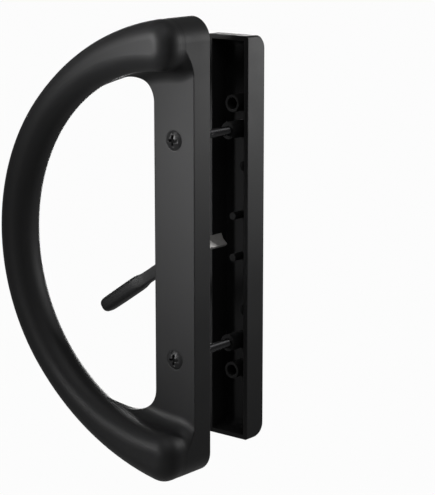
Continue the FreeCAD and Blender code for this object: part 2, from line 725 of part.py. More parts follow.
def exterior_pull():
    """The exterior casting: a hollow bar open to the door, with screw posts, ring bosses and locating studs."""
    body = new_body("exterior_pull")
    block = extrude(body, "Pad", exterior_profile(body, "exterior_side", "0"), "<plate_width>", both=True)
    rim, side = value(RIM), value(HALF_PLATE)

    def outer_edge(edge):
        on_side = all(abs(abs(v.X) - side) < 1e-6 for v in edge.Vertexes)
        straight_through = len({round(v.X, 6) for v in edge.Vertexes}) == 2
        at_rim = all(abs(v.Y - rim) < 1e-6 for v in edge.Vertexes)
        return on_side and not straight_through and not at_rim

    cut_edges(body, block, "Chamfer", "Size", outer_edge, "<exterior_edge_chamfer>", "exterior_edges")
    hollow = exterior_profile(body, "exterior_hollow", "<exterior_wall>")
    extrude(body, "Pocket", hollow, "(<plate_width> - 2 * <exterior_wall>)", both=True)

    def standing(name, setback):
        """A sketch on the hollow's floor, and the height from there up to a setback from the rim."""
        sketch = new_sketch(body, name, "XZ_Plane", f"(-1 * {HOLLOW_FLOOR})")
        return sketch, f"({HOLLOW_FLOOR} - {RIM} - {setback})"

    posts, height = standing("screw_posts", "0")
    pair(posts, "<screw_spacing>", "<post_diameter>")
    extrude(body, "Pad", posts, height)
    rings, height = standing("ring_bosses", "<ring_setback>")
    pair(rings, "<ring_spacing>", "<ring_diameter>", middle="(-1 * <exterior_drop>)")
    pair(rings, "<ring_spacing>", "<ring_bore>", middle="(-1 * <exterior_drop>)")
    extrude(body, "Pad", rings, height)
    studs, height = standing("locating_studs", "<stud_setback>")
    pair(studs, "<stud_spacing>", "<stud_diameter>")
    pair(studs, "<pad_spacing>", "<pad_diameter>", "<pad_offset>")
    extrude(body, "Pad", studs, height)
    bores = new_sketch(body, "post_bores", "XZ_Plane", f"(-1 * {RIM})")
    pair(bores, "<screw_spacing>", "(<screw_diameter> + 2 * <fit_clearance>)")
    extrude(body, "Pocket", bores, f"(<screw_length> - <plate_depth> - {RIM} + <running_gap>)")
    return body


PIECES = [
    interior_handle(),
    thumb_lever(),
    tailpiece(),
    hub_retainer(),
    spring_washer(),
    group("retainer_screws", retainer_screw, "<retainer_screw_spacing>"),
    group("mounting_screws", mounting_screw, "<screw_spacing>"),
    exterior_pull(),
]
doc.recompute()
for thing in doc.Objects:
    if "Invalid" in thing.State or "Error" in thing.State:
        raise RuntimeError(f"{thing.Label} did not build: {thing.State}")
for piece in PIECES:
    if piece.Shape.isNull() or not piece.Shape.isValid():
        raise RuntimeError(f"{piece.Label} has no valid shape")
os.makedirs("parts", exist_ok=True)
for piece in PIECES:
    piece.Shape.exportStep(f"parts/{piece.Label}.step")
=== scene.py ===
import math

import bmesh
import bpy
from bpy.props import FloatProperty, FloatVectorProperty, IntProperty, PointerProperty
from mathutils import Euler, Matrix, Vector


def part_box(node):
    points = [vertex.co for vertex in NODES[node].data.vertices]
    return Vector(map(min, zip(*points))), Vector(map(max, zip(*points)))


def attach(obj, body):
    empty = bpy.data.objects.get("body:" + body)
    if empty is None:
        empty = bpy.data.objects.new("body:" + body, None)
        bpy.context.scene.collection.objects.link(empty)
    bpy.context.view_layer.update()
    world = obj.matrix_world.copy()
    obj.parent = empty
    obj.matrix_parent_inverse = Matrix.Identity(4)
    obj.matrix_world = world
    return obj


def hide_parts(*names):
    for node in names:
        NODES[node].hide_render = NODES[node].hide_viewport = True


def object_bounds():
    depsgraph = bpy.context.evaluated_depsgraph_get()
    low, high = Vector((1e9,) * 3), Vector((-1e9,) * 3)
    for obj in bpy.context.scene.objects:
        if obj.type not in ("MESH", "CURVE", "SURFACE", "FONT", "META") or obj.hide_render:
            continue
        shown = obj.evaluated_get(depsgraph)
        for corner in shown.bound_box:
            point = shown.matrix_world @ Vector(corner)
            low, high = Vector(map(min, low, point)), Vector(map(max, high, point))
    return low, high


bl_info = {
    "name": "Sliding Patio Door Handle",
    "version": (1, 0, 0),
    "blender": (4, 5, 0),
    "location": "3D View > Sidebar > Door Handle",
    "description": "Finishes the handle set: cast paint, thumb lever, threaded screws, steel and a stage",
    "category": "Object",
}

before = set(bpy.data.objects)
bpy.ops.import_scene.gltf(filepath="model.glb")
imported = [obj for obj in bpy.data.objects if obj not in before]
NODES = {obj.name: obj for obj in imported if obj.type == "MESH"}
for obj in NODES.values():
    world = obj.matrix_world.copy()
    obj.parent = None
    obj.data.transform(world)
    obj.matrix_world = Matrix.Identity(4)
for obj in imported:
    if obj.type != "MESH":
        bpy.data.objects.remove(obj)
CAD_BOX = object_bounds()
MM = 0.001
FULL_TURN = 2.0 * math.pi

# Mesh work: points nearer than a weld become one, and edges sharper than the angle stay sharp
CAD_WELD = 0.001 * MM
THREAD_WELD = 0.002 * MM
SHARP_ANGLE = math.radians(32.0)

# Rays with which a shader looks for the edges of a piece
EDGE_SAMPLES = 6


class HandlePaintSettings(bpy.types.PropertyGroup):
    """Black paint on the two castings and the lever."""

    casting_colour: FloatVectorProperty(
        name="Casting Colour", description="Paint on the two castings",
        subtype="COLOR", size=3, min=0.0, max=1.0, default=(0.0105, 0.0105, 0.0110))
    casting_light_colour: FloatVectorProperty(
        name="Casting Light Patches", description="Paint where the coat is thin or dusty",
        subtype="COLOR", size=3, min=0.0, max=1.0, default=(0.0150, 0.0150, 0.0155))
    rubbed_colour: FloatVectorProperty(
        name="Rubbed Edges", description="Paint polished thin along the edges",
        subtype="COLOR", size=3, min=0.0, max=1.0, default=(0.032, 0.032, 0.033))
    casting_roughness: FloatProperty(
        name="Casting Roughness", description="How matt the casting's paint is",
        subtype="FACTOR", min=0.0, max=1.0, default=0.54)
    lever_colour: FloatVectorProperty(
        name="Lever Colour", description="Paint on the thumb lever",
        subtype="COLOR", size=3, min=0.0, max=1.0, default=(0.0085, 0.0085, 0.0090))
    lever_roughness: FloatProperty(
        name="Lever Roughness", description="How matt the lever's paint is",
        subtype="FACTOR", min=0.0, max=1.0, default=0.52)
    # Painted shade: a dark colour put inside the castings' hollows, where shade falls
    hollow_shade_colour: FloatVectorProperty(
        name="Painted Hollow Shade", description="Painted shade: dark colour inside the castings' hollows",
        subtype="COLOR", size=3, min=0.0, max=1.0, default=(0.0040, 0.0040, 0.0042))
    hollow_roughness: FloatProperty(
        name="Hollow Roughness", description="How matt the inside of the castings is",
        subtype="FACTOR", min=0.0, max=1.0, default=0.95)
    edge_softness: FloatProperty(
        name="Edge Softness", description="Radius over which the paint rounds off a cast edge",
        subtype="DISTANCE", unit="LENGTH", min=0.0, default=0.9 * MM)


class HandleScrewSettings(bpy.types.PropertyGroup):
    """Threads and coat of the two mounting screws."""

    thread_pitch: FloatProperty(
        name="Thread Pitch", description="Distance between two turns of the thread",
        subtype="DISTANCE", unit="LENGTH", min=0.1 * MM, default=1.0 * MM)
    thread_depth: FloatProperty(
        name="Thread Depth", description="From the crest of the thread down to its root",
        subtype="DISTANCE", unit="LENGTH", min=0.0, default=0.45 * MM)
    plain_shank: FloatProperty(
        name="Plain Shank", description="Length without thread below the head",
        subtype="DISTANCE", unit="LENGTH", min=0.0, default=6.0 * MM)
    steps: IntProperty(
        name="Steps per Turn", description="Facets of the thread in one turn", min=8, default=28)
    colour: FloatVectorProperty(
        name="Screw Colour", description="Black coat on the heads of the mounting screws",
        subtype="COLOR", size=3, min=0.0, max=1.0, default=(0.009, 0.009, 0.0093))
    thread_colour: FloatVectorProperty(
        name="Thread Colour", description="Steel along the threads of the mounting screws",
        subtype="COLOR", size=3, min=0.0, max=1.0, default=(0.06, 0.06, 0.062))


class HandleSteelSettings(bpy.types.PropertyGroup):
    """Bare and plated steel of the pivot's pieces."""

    blade_colour: FloatVectorProperty(
        name="Blade Colour", description="Bare steel of the tailpiece",
        subtype="COLOR", size=3, min=0.0, max=1.0, default=(0.42, 0.41, 0.40))
    plated_colour: FloatVectorProperty(
        name="Plated Colour", description="Zinc plating on the retainer and its screws",
        subtype="COLOR", size=3, min=0.0, max=1.0, default=(0.50, 0.51, 0.53))
    spring_colour: FloatVectorProperty(
        name="Spring Colour", description="Oiled spring steel of the washer",
        subtype="COLOR", size=3, min=0.0, max=1.0, default=(0.30, 0.31, 0.34))


class HandleStageSettings(bpy.types.PropertyGroup):
    """Camera, light from all round and floor."""

    camera_place: FloatVectorProperty(
        name="Camera Place", description="Where the camera stands",
        subtype="TRANSLATION", unit="LENGTH", size=3, default=(0.5294, -0.6277, 0.1786))
    camera_pan: FloatProperty(
        name="Camera Pan", description="Turn of the camera about the vertical",
        subtype="ANGLE", unit="ROTATION", default=math.radians(39.293))
    camera_tilt: FloatProperty(
        name="Camera Tilt", description="How far the camera looks down",
        subtype="ANGLE", unit="ROTATION", default=math.radians(12.266))
    camera_lens: FloatProperty(
        name="Camera Lens", description="Focal length on a 36 mm sensor, in millimetres",
        min=1.0, default=135.76)
    floor_drop: FloatProperty(
        name="Floor Drop", description="How far below the part the floor lies",
        subtype="DISTANCE", unit="LENGTH", min=0.0, default=0.30)
    world_fill: FloatProperty(
        name="World Fill", description="Strength of the even light from all round", min=0.0, default=0.11)
    reflected_backdrop: FloatProperty(
        name="Reflected Backdrop", description="Share of the white backdrop that glossy surfaces reflect",
        subtype="FACTOR", min=0.0, max=1.0, default=0.10)


def settings():
    """The settings of the handle set in this scene."""
    return bpy.context.scene.door_handle


def shade(colour, factor):
    """A colour made darker or lighter."""
    return tuple(factor * part for part in colour)


class Wiring:
    """Short hand for placing nodes in one node tree and joining them."""

    def __init__(self, tree):
        self.tree = tree

    def node(self, kind, **attributes):
        """A new node with some of its attributes set."""
        made = self.tree.nodes.new(kind)
        for name, setting in attributes.items():
            setattr(made, name, setting)
        return made

    def join(self, source, target):
        """Lead one socket into another."""
        self.tree.links.new(source, target)

    def feed(self, socket, given):
        """Set a socket to a constant, or join it to another socket."""
        if isinstance(given, bpy.types.NodeSocket):
            self.join(given, socket)
        else:
            socket.default_value = given

    def math(self, operation, first, second=0.0, third=0.0):
        """What a Math node makes of up to three numbers."""
        made = self.node("ShaderNodeMath", operation=operation)
        for socket, given in zip(made.inputs, (first, second, third)):
            self.feed(socket, given)
        return made.outputs[0]

    def vector_math(self, operation, first, second=None):
        """What a Vector Math node makes of one or two vectors."""
        made = self.node("ShaderNodeVectorMath", operation=operation)
        self.join(first, made.inputs[0])
        if second is not None:
            self.feed(made.inputs[1], second)
        return made.outputs["Vector"]

    def place(self):
        """The place of a point on its own piece."""
        return self.node("ShaderNodeTexCoord").outputs["Object"]

    def axes(self, vector):
        """The X, Y and Z of a vector."""
        made = self.node("ShaderNodeSeparateXYZ")
        self.join(vector, made.inputs["Vector"])
        return made.outputs

    def noise(self, vector, scale, detail=2.0, roughness=0.5):
        """Cloudy noise of a given scale."""
        made = self.node("ShaderNodeTexNoise")
        self.join(vector, made.inputs["Vector"])
        self.feed(made.inputs["Scale"], scale)
        made.inputs["Detail"].default_value = detail
        made.inputs["Roughness"].default_value = roughness
        return made.outputs["Fac"]

    def remap(self, given, low, high):
        """A number stretched so that low becomes 0 and high becomes 1, and cut off there."""
        made = self.node("ShaderNodeMapRange")
        made.inputs["From Min"].default_value = low
        made.inputs["From Max"].default_value = high
        self.feed(made.inputs["Value"], given)
        return made.outputs["Result"]

    def blend(self, mask, first, second):
        """A colour between two, by a mask."""
        made = self.node("ShaderNodeMix", data_type="RGBA")
        self.feed(made.inputs["Factor"], mask)
        for label, given in (("A", first), ("B", second)):
            socket = next(s for s in made.inputs if s.name == label and s.type == "RGBA")
            self.feed(socket, given if isinstance(given, bpy.types.NodeSocket) else (*given, 1.0))
        return next(s for s in made.outputs if s.type == "RGBA")

    def inside(self, where, low, high):
        """A mask of the places inside a box."""
        from_centre = self.vector_math("SUBTRACT", where, (low + high) / 2.0)
        unsigned = self.vector_math("ABSOLUTE", from_centre)
        beyond = self.axes(self.vector_math("SUBTRACT", unsigned, (high - low) / 2.0))
        furthest = self.math("MAXIMUM", self.math("MAXIMUM", beyond["X"], beyond["Y"]), beyond["Z"])
        return self.math("LESS_THAN", furthest, 0.0)

    def place_group(self, group, **values):
        """A node group with some of its inputs set, an underscore standing for a space in their names."""
        made = self.node("ShaderNodeGroup", node_tree=group)
        for label, given in values.items():
            self.feed(made.inputs[label.replace("_", " ")], given)
        return made


def new_group(name, inputs, outputs):
    """A shader node group with number inputs at their defaults and number outputs, and its wiring."""
    group = bpy.data.node_groups.new(name, "ShaderNodeTree")
    for label, default in inputs.items():
        socket = group.interface.new_socket(label, in_out="INPUT", socket_type="NodeSocketFloat")
        socket.default_value = default
    for label in outputs:
        group.interface.new_socket(label, in_out="OUTPUT", socket_type="NodeSocketFloat")
    w = Wiring(group)
    return group, w, w.node("NodeGroupInput").outputs, w.node("NodeGroupOutput").inputs


# How far the specks stand out of the peel, and the part of each noise that shows as specks and as patches
SPECK_RELIEF = 0.35
SPECK_RANGE = (0.62, 0.80)
PATCH_RANGE = (0.35, 0.70)


def cast_paint_skin():
    """Sprayed paint over a die casting: the peel of the coat, fine specks, and thin and thick patches."""
    known = bpy.data.node_groups.get("Cast Paint Skin")
    if known:
        return known
    scales = {"Peel Scale": 900.0, "Speck Scale": 3600.0, "Patch Scale": 30.0}
    group, w, given, put = new_group("Cast Paint Skin", scales, ("Height", "Specks", "Patches"))
    where = w.place()
    peel = w.noise(where, given["Peel Scale"], detail=1.0)
    specks = w.noise(where, given["Speck Scale"], detail=2.0, roughness=0.6)
    patches = w.noise(where, given["Patch Scale"], detail=4.0, roughness=0.55)
    w.join(w.math("MULTIPLY_ADD", specks, SPECK_RELIEF, peel), put["Height"])
    w.join(w.remap(specks, *SPECK_RANGE), put["Specks"])
    w.join(w.remap(patches, *PATCH_RANGE), put["Patches"])
    return group


# How far a rounded edge turns from its face where it is rubbed, and the noise that breaks the mask up
RUBBED_TURN = (0.02, 0.20)
BREAKUP_RANGE = (0.35, 0.65)


def rubbed_edges():
    """A mask along the edges that hands and tools rub, broken up by noise."""
    known = bpy.data.node_groups.get("Rubbed Edges")
    if known:
        return known
    scales = {"Reach": 0.6 * MM, "Breakup Scale": 400.0}
    group, w, given, put = new_group("Rubbed Edges", scales, ("Mask",))
    rounded = w.node("ShaderNodeBevel", samples=EDGE_SAMPLES)
    w.join(given["Reach"], rounded.inputs["Radius"])
    face = w.node("ShaderNodeNewGeometry")
    agree = w.node("ShaderNodeVectorMath", operation="DOT_PRODUCT")
    w.join(rounded.outputs["Normal"], agree.inputs[0])
    w.join(face.outputs["Normal"], agree.inputs[1])
    bent = w.remap(w.math("SUBTRACT", 1.0, agree.outputs["Value"]), *RUBBED_TURN)
    breakup = w.remap(w.noise(w.place(), given["Breakup Scale"], detail=3.0), *BREAKUP_RANGE)
    w.join(w.math("MULTIPLY", bent, breakup), put["Mask"])
    return group


# Streaks are drawn out along the depth of the part, and clouds show in this part of their noise
STREAK_STRETCH = (1.0, 0.04, 1.0)
CLOUD_RANGE = (0.30, 0.72)


def rolled_steel():
    """Rolling streaks along the blade and dull clouds across it."""
    known = bpy.data.node_groups.get("Rolled Steel")
    if known:
        return known
    scales = {"Streak Scale": 1500.0, "Cloud Scale": 160.0}
    group, w, given, put = new_group("Rolled Steel", scales, ("Streaks", "Clouds"))
    where = w.place()
    stretch = w.node("ShaderNodeMapping")
    stretch.inputs["Scale"].default_value = STREAK_STRETCH
    w.join(where, stretch.inputs["Vector"])
    streaks = w.noise(stretch.outputs["Vector"], given["Streak Scale"], detail=3.0, roughness=0.6)
    clouds = w.noise(where, given["Cloud Scale"], detail=4.0, roughness=0.6)
    w.join(streaks, put["Streaks"])
    w.join(w.remap(clouds, *CLOUD_RANGE), put["Clouds"])
    return group


def new_material(name):
    """A material with its Principled shader and its wiring."""
    material = bpy.data.materials.new(name)
    material.use_nodes = True
    material.node_tree.nodes.clear()
    w = Wiring(material.node_tree)
    surface = w.node("ShaderNodeOutputMaterial")
    shader = w.node("ShaderNodeBsdfPrincipled")
    w.join(shader.outputs["BSDF"], surface.inputs["Surface"])
    return material, w, shader


def bumped(w, shader, height, distance, strength, edge_radius=0.0):
    """Relief on a surface, over a normal that may be rounded off at the edges."""
    bump = w.node("ShaderNodeBump")
    bump.inputs["Distance"].default_value = distance
    bump.inputs["Strength"].default_value = strength
    w.join(height, bump.inputs["Height"])
    if edge_radius:
        rounded = w.node("ShaderNodeBevel", samples=EDGE_SAMPLES)
        rounded.inputs["Radius"].default_value = edge_radius
        w.join(rounded.outputs["Normal"], bump.inputs["Normal"])
    w.join(bump.outputs["Normal"], shader.inputs["Normal"])


# Paint: how strongly patches, specks and wear tint it, and what patches and wear do to its roughness
PATCH_SHARE = 0.6
SPECK_SHARE = 0.25
WEAR_SHARE = 0.5
PATCH_ROUGHENING = 0.10
WEAR_POLISH = -0.12
PAINT_SPECULAR = 0.24

# Scale of the peel in the paint, finer on the small lever
CASTING_PEEL = 900.0
LEVER_PEEL = 1300.0


def black_paint(name, colour, thin_colour, roughness, peel_scale, hollow=None):
    """Satin black paint with peel, specks, patches and rubbed edges, made matt and darkened with painted
    shade inside a given hollow.
    """
    paint = settings().paint
    material, w, shader = new_material(name)
    skin = w.place_group(cast_paint_skin(), Peel_Scale=peel_scale).outputs
    rubbed = w.place_group(rubbed_edges()).outputs
    toned = w.blend(w.math("MULTIPLY", skin["Patches"], PATCH_SHARE), colour, thin_colour)
    specked = w.blend(w.math("MULTIPLY", skin["Specks"], SPECK_SHARE), toned, paint.rubbed_colour)
    worn = w.math("MULTIPLY", rubbed["Mask"], WEAR_SHARE)
    tinted = w.blend(worn, specked, paint.rubbed_colour)
    smoothest = roughness - PATCH_ROUGHENING / 2.0
    rough = w.math("MULTIPLY_ADD", skin["Patches"], PATCH_ROUGHENING, smoothest)
    rough = w.math("MULTIPLY_ADD", worn, WEAR_POLISH, rough)
    # Painted shade: inside the hollow the colour turns darker where shade falls, and the paint turns matt
    if hollow:
        shaded_hollow = w.inside(w.place(), *hollow)
        tinted = w.blend(shaded_hollow, tinted, paint.hollow_shade_colour)
        rough = w.math("MAXIMUM", rough, w.math("MULTIPLY", shaded_hollow, paint.hollow_roughness))
    w.join(tinted, shader.inputs["Base Color"])
    w.join(rough, shader.inputs["Roughness"])
    shader.inputs["Specular IOR Level"].default_value = PAINT_SPECULAR
    bumped(w, shader, skin["Height"], distance=0.04 * MM, strength=0.35, edge_radius=paint.edge_softness)
    return material


# Steel: what clouds and streaks add to its roughness
CLOUD_ROUGHENING = 0.18
STREAK_ROUGHENING = 0.10


def bare_steel(name, colour, dull, roughness, streak_strength):
    """Steel with rolling streaks, and clouds in which its colour is duller by a factor."""
    material, w, shader = new_material(name)
    steel = w.place_group(rolled_steel()).outputs
    w.join(w.blend(steel["Clouds"], colour, shade(colour, dull)), shader.inputs["Base Color"])
    rough = w.math("MULTIPLY_ADD", steel["Clouds"], CLOUD_ROUGHENING, roughness)
    rough = w.math("MULTIPLY_ADD", steel["Streaks"], STREAK_ROUGHENING, rough)
    w.join(rough, shader.inputs["Roughness"])
    shader.inputs["Metallic"].default_value = 1.0
    bumped(w, shader, steel["Streaks"], distance=0.03 * MM, strength=streak_strength, edge_radius=0.15 * MM)
    return material


# Coat on the screw heads: what patches, rubbed edges and the painted shade of the recess make of its colour
# and roughness
PATCH_LIFT = 1.4
EDGE_LIFT = 3.0
EDGE_SHARE = 0.1
RECESS_SHADE = 0.2
COAT_ROUGHNESS = 0.36
COAT_ROUGHENING = 0.10
RECESS_ROUGHNESS = 0.95
COAT_SPECULAR = 0.26

# Cross recess of a head: how far it reaches, and the depths below the crown between which it turns dark with
# painted shade
RECESS_RADIUS = 2.6 * MM
RECESS_DEPTHS = (0.3 * MM, 0.6 * MM)

# Thread: the length over which the coat gives way to bare steel, and how much smoother the steel is
COAT_FADE = 1.0 * MM
THREAD_POLISH = -0.16


def black_oxide(name, colour, bare_colour, bare_from, spacing, crown):
    """Black screws: a dull coat on the heads, painted shade in the cross recess, and bare steel behind a
    depth.
    """
    material, w, shader = new_material(name)
    skin = w.place_group(cast_paint_skin(), Peel_Scale=2200.0, Patch_Scale=260.0).outputs
    rubbed = w.place_group(rubbed_edges(), Reach=0.25 * MM, Breakup_Scale=900.0).outputs
    where = w.axes(w.place())
    threaded = w.remap(where["Y"], bare_from, bare_from + COAT_FADE)
    toned = w.blend(skin["Patches"], colour, shade(colour, PATCH_LIFT))
    edged = w.blend(w.math("MULTIPLY", rubbed["Mask"], EDGE_SHARE), toned, shade(colour, EDGE_LIFT))
    aside = w.math("SUBTRACT", w.math("ABSOLUTE", where["Z"]), spacing / 2.0)
    across = w.math("MULTIPLY", where["X"], where["X"])
    from_axis = w.math("SQRT", w.math("MULTIPLY_ADD", aside, aside, across))
    central = w.math("LESS_THAN", from_axis, RECESS_RADIUS)
    deep = w.remap(where["Y"], *(crown + depth for depth in RECESS_DEPTHS))
    sunk = w.math("MULTIPLY", central, deep)
    # Painted shade: the cross recess is coloured dark where shade falls
    recess_shaded = w.blend(sunk, edged, shade(colour, RECESS_SHADE))
    w.join(w.blend(threaded, recess_shaded, bare_colour), shader.inputs["Base Color"])
    dull = w.math("MULTIPLY", w.math("SUBTRACT", sunk, threaded), RECESS_ROUGHNESS)
    rough = w.math("MULTIPLY_ADD", skin["Patches"], COAT_ROUGHENING, COAT_ROUGHNESS)
    rough = w.math("MULTIPLY_ADD", threaded, THREAD_POLISH, w.math("MAXIMUM", rough, dull))
    w.join(rough, shader.inputs["Roughness"])
    shader.inputs["Specular IOR Level"].default_value = COAT_SPECULAR
    w.join(threaded, shader.inputs["Metallic"])
    bumped(w, shader, skin["Height"], distance=0.015 * MM, strength=0.3)
    return material


def finish_node(node, material):
    """Give a CAD node one material."""
    mesh = NODES[node].data
    mesh.materials.clear()
    mesh.materials.append(material)


def cut_node(node, place, direction):
    """What a CAD node has on the near side of a plane, welded, and closed at the cut."""
    bm = bmesh.new()
    bm.from_mesh(NODES[node].data)
    bmesh.ops.remove_doubles(bm, verts=bm.verts, dist=CAD_WELD)
    cut = bmesh.ops.bisect_plane(bm, geom=bm.verts[:] + bm.edges[:] + bm.faces[:], plane_co=place,
                                 plane_no=direction, clear_outer=True)
    rims = [e for e in cut["geom_cut"] if isinstance(e, bmesh.types.BMEdge)]
    bmesh.ops.holes_fill(bm, edges=rims, sides=0)
    return bm


def add_mesh(bm, other):
    """Join one bmesh into another."""
    carrier = bpy.data.meshes.new("carrier")
    other.to_mesh(carrier)
    other.free()
    bm.from_mesh(carrier)
    bpy.data.meshes.remove(carrier)


def new_piece(name, bm, material, body):
    """A finished mesh as a piece that rides on a body of the frame."""
    bmesh.ops.recalc_face_normals(bm, faces=bm.faces)
    mesh = bpy.data.meshes.new(name)
    bm.to_mesh(mesh)
    bm.free()
    mesh.shade_smooth()
    mesh.set_sharp_from_angle(angle=SHARP_ANGLE)
    mesh.materials.append(material)
    piece = bpy.data.objects.new(name, mesh)
    bpy.context.scene.collection.objects.link(piece)
    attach(piece, body)
    return piece


# Walls and cavities of the two castings, as the solids have them
HANDLE_WALL = 2.3 * MM
CAVITY_FLOOR = -8.4 * MM
CAVITY_LENGTH = 128.0 * MM
PULL_WALL = 2.2 * MM

# How far the mask of a cavity reaches past the cavity's faces
MASK_MARGIN = 0.05 * MM


def handle_hollow():
    """The box of the cavity behind the handle's plate, up to the rim that lies on the door."""
    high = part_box("interior_handle")[1]
    side = high.x - HANDLE_WALL + MASK_MARGIN
    reach = CAVITY_LENGTH / 2.0 + MASK_MARGIN
    return Vector((-side, CAVITY_FLOOR - MASK_MARGIN, -reach)), Vector((side, MASK_MARGIN, reach))


def pull_hollow():
    """The box of the cavity in the outer pull, from the rim on the door to its floor."""
    low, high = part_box("exterior_pull")
    inset = Vector((PULL_WALL - MASK_MARGIN,) * 3)
    return Vector((low.x + inset.x, low.y - MASK_MARGIN, low.z + inset.z)), high - inset


class DOORHANDLE_OT_paint_castings(bpy.types.Operator):
    """Paint the interior handle and the exterior pull"""

    bl_idname = "door_handle.paint_castings"
    bl_label = "Paint Castings"

    def execute(self, context):
        paint = settings().paint
        for node, name, hollow in (("interior_handle", "Satin Black Handle", handle_hollow()),
                                   ("exterior_pull", "Satin Black Pull", pull_hollow())):
            material = black_paint(name, paint.casting_colour, paint.casting_light_colour,
                                   paint.casting_roughness, CASTING_PEEL, hollow)
            finish_node(node, material)
        return {"FINISHED"}


# At rest the lever's line hangs this far below level. Its middle lies this deep from the door's inner face.
LEVER_REST = math.radians(36.5)
LEVER_MIDDLE = -5.4 * MM

# The CAD node gives the hub, up to this distance from the pivot
STUMP_END = 9.5 * MM

# Sections of the neck and the paddle, in millimetres: distance from the pivot, height of the section's
# middle above the lever's line, half its height, half its depth, radius of its corners
LEVER_SECTIONS = (
    (8.6, -0.05, 3.00, 1.90, 0.50),
    (13.0, -0.35, 2.75, 2.00, 0.60),
    (17.0, -0.60, 2.62, 2.00, 0.60),
    (23.0, -0.38, 2.66, 2.00, 0.60),
    (27.0, -0.18, 2.72, 2.05, 0.65),
    (28.5, -0.09, 2.88, 2.30, 0.85),
    (30.0, 0.00, 3.20, 2.80, 1.30),
    (31.5, 0.07, 3.42, 3.25, 1.80),
    (33.5, 0.16, 3.53, 3.58, 2.30),
    (36.0, 0.27, 3.57, 3.70, 2.50),
    (40.0, 0.44, 3.58, 3.70, 2.60),
    (46.0, 0.70, 3.58, 3.70, 2.60),
    (52.0, 0.98, 3.54, 3.68, 2.60),
    (55.4, 1.13, 3.44, 3.60, 2.50),
    (56.8, 1.18, 3.18, 3.36, 2.40),
    (57.6, 1.21, 2.72, 2.92, 2.10),
    (58.0, 1.23, 2.10, 2.30, 1.60),
    (58.1, 1.24, 1.40, 1.60, 1.00),
)


def rounded_section(half_height, half_depth, corner, steps=6):
    """Points round a rectangle with rounded corners, as pairs of depth and height."""
    points = []
    for quarter, (side, end) in enumerate(((1, 1), (-1, 1), (-1, -1), (1, -1))):
        for k in range(steps + 1):
            angle = FULL_TURN * (quarter + k / steps) / 4.0
            points.append((side * (half_depth - corner) + corner * math.cos(angle),
                           end * (half_height - corner) + corner * math.sin(angle)))
    return points


def finished_lever():
    """The hub from the CAD node, with a slim neck and a rounded paddle lofted through their sections."""
    outward = Vector((-math.cos(LEVER_REST), 0.0, -math.sin(LEVER_REST)))
    upward = Vector((-math.sin(LEVER_REST), 0.0, math.cos(LEVER_REST)))
    bm = cut_node("thumb_lever", outward * STUMP_END, outward)
    rings = []
    for along, centre, half_height, half_depth, corner in LEVER_SECTIONS:
        ring = []
        for depth, height in rounded_section(half_height, half_depth, corner):
            place = (outward * along + upward * (centre + height)) * MM
            place.y = LEVER_MIDDLE + depth * MM
            ring.append(bm.verts.new(place))
        rings.append(ring)
    for ring, following in zip(rings, rings[1:]):
        for k in range(len(ring)):
            after = (k + 1) % len(ring)
            bm.faces.new((ring[k], ring[after], following[after], following[k]))
    bm.faces.new(rings[0])
    bm.faces.new(rings[-1])
    return bm


class DOORHANDLE_OT_make_lever(bpy.types.Operator):
    """Shape and paint the thumb lever"""

    bl_idname = "door_handle.make_lever"
    bl_label = "Make Lever"

    def execute(self, context):
        paint = settings().paint
        material = black_paint("Satin Black Lever", paint.lever_colour, paint.casting_colour,
                               paint.lever_roughness, LEVER_PEEL)
        piece = new_piece("shaped_thumb_lever", finished_lever(), material, "latch")
        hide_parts("thumb_lever")
        return {"FINISHED"}


# From the crown of a mounting screw's head to its shank
HEAD_LENGTH = 4.2 * MM

# One turn of the thread from root over its flat crest to root: share of the pitch, share of the depth
THREAD_PROFILE = ((0.0, 0.0), (0.32, 1.0), (0.46, 1.0), (0.78, 0.0))

# Turns over which the thread runs out at the screw's far end
RUN_OUT = 2.0


def shank_place(low, high):
    """Spacing of the two screws and the radius of their shanks, read from the CAD node."""
    corners = [v.co for v in NODES["mounting_screws"].data.vertices]
    middle = (low.y + high.y) / 2.0
    shank = [c for c in corners if c.y > middle and c.z > 0.0]
    top, bottom = max(c.z for c in shank), min(c.z for c in shank)
    return top + bottom, (top - bottom) / 2.0


def threaded_shank(centre_z, start, end, crest, depth, pitch, steps):
    """A closed shank along Y with a helical thread that fades into the root at both ends."""
    bm = bmesh.new()
    turns = math.ceil((end - start) / pitch) + 1
    rows = []
    for count in range(-steps, turns * steps + 1):
        angle = FULL_TURN * count / steps
        row = []
        for along, height in THREAD_PROFILE:
            y = start + pitch * (count / steps + along)
            fade = min(1.0, max(0.0, (y - start) / pitch), max(0.0, (end - y) / (RUN_OUT * pitch)))
            radius = crest - depth + depth * height * fade
            placed = min(max(y, start), end)
            row.append(bm.verts.new((radius * math.sin(angle), placed, centre_z + radius * math.cos(angle))))
        rows.append(row)
    last = len(THREAD_PROFILE) - 1
    for count in range(len(rows) - 1):
        here, following = rows[count], rows[count + 1]
        for k in range(last):
            bm.faces.new((here[k], here[k + 1], following[k + 1], following[k]))
        if count + 1 + steps < len(rows):
            above, after = rows[count + steps], rows[count + steps + 1]
            bm.faces.new((here[last], above[0], after[0], following[last]))
    bmesh.ops.remove_doubles(bm, verts=bm.verts, dist=THREAD_WELD)
    bmesh.ops.dissolve_degenerate(bm, edges=bm.edges, dist=THREAD_WELD)
    bmesh.ops.holes_fill(bm, edges=bm.edges, sides=0)
    return bm


